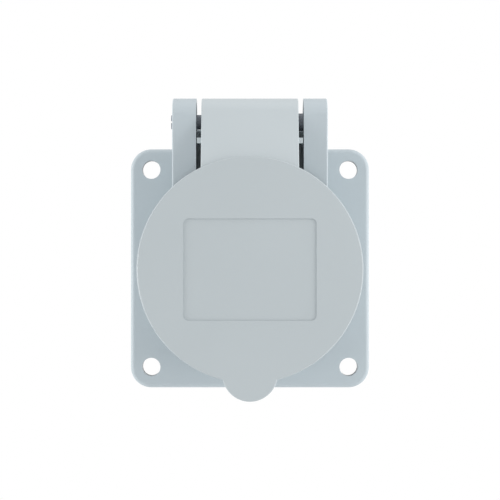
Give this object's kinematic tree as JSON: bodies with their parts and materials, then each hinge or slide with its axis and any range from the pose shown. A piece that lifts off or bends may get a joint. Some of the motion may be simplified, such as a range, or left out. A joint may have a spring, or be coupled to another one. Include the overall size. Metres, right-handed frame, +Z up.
{
  "type": "panel mounted power socket",
  "caption": "Square-flanged panel mounted power socket with a round sprung flap lid on a hinge above, sleeve contacts in a round collar, and screw terminals behind.",
  "frame": {"origin": "centre of the mounting face, at the back of the flange gasket", "axes": "+Y out of the mounting face into the panel, the lid faces -Y, +Z up to the hinge, +X to the right seen from the front"},
  "size_m": [0.0846, 0.0793, 0.1019],
  "materials": {
    "grey_plastic": "fine satin, moulded",
    "dark_plastic": "satin, moulded",
    "black_rubber": "matt",
    "brass": "turned",
    "steel": "zinc plated"
  },
  "bodies": {
    "housing_body": {"housing": "grey_plastic", "flange_gasket": "black_rubber", "hinge_pin": "dark_plastic", "torsion_spring": "steel", "contact_carrier": "dark_plastic", "contact_retainer": "dark_plastic", "earth_sleeve": "brass", "earth_clamp_ring": "steel", "earth_terminal_screw": "steel", "line_1_sleeve": "brass", "line_1_clamp_ring": "steel", "line_1_terminal_screw": "steel", "line_2_sleeve": "brass", "line_2_clamp_ring": "steel", "line_2_terminal_screw": "steel", "line_3_sleeve": "brass", "line_3_clamp_ring": "steel", "line_3_terminal_screw": "steel", "neutral_sleeve": "brass", "neutral_clamp_ring": "steel", "neutral_terminal_screw": "steel", "carrier_screw_right": "steel", "carrier_screw_left": "steel", "retainer_screw": "steel"},
    "lid_body": {"lid": "grey_plastic", "lid_seal": "black_rubber"}
  },
  "joints": [
    {"name": "lid_hinge", "type": "hinge", "parent": "housing_body", "child": "lid_body", "pos_m": [0, -0.0334, 0.05], "axis": [-1, 0, 0], "range_deg": [0, 115], "stiffness_Nm_per_rad": 0.04, "springref_deg": -34.38, "deforming": ["torsion_spring"]}
  ]
}
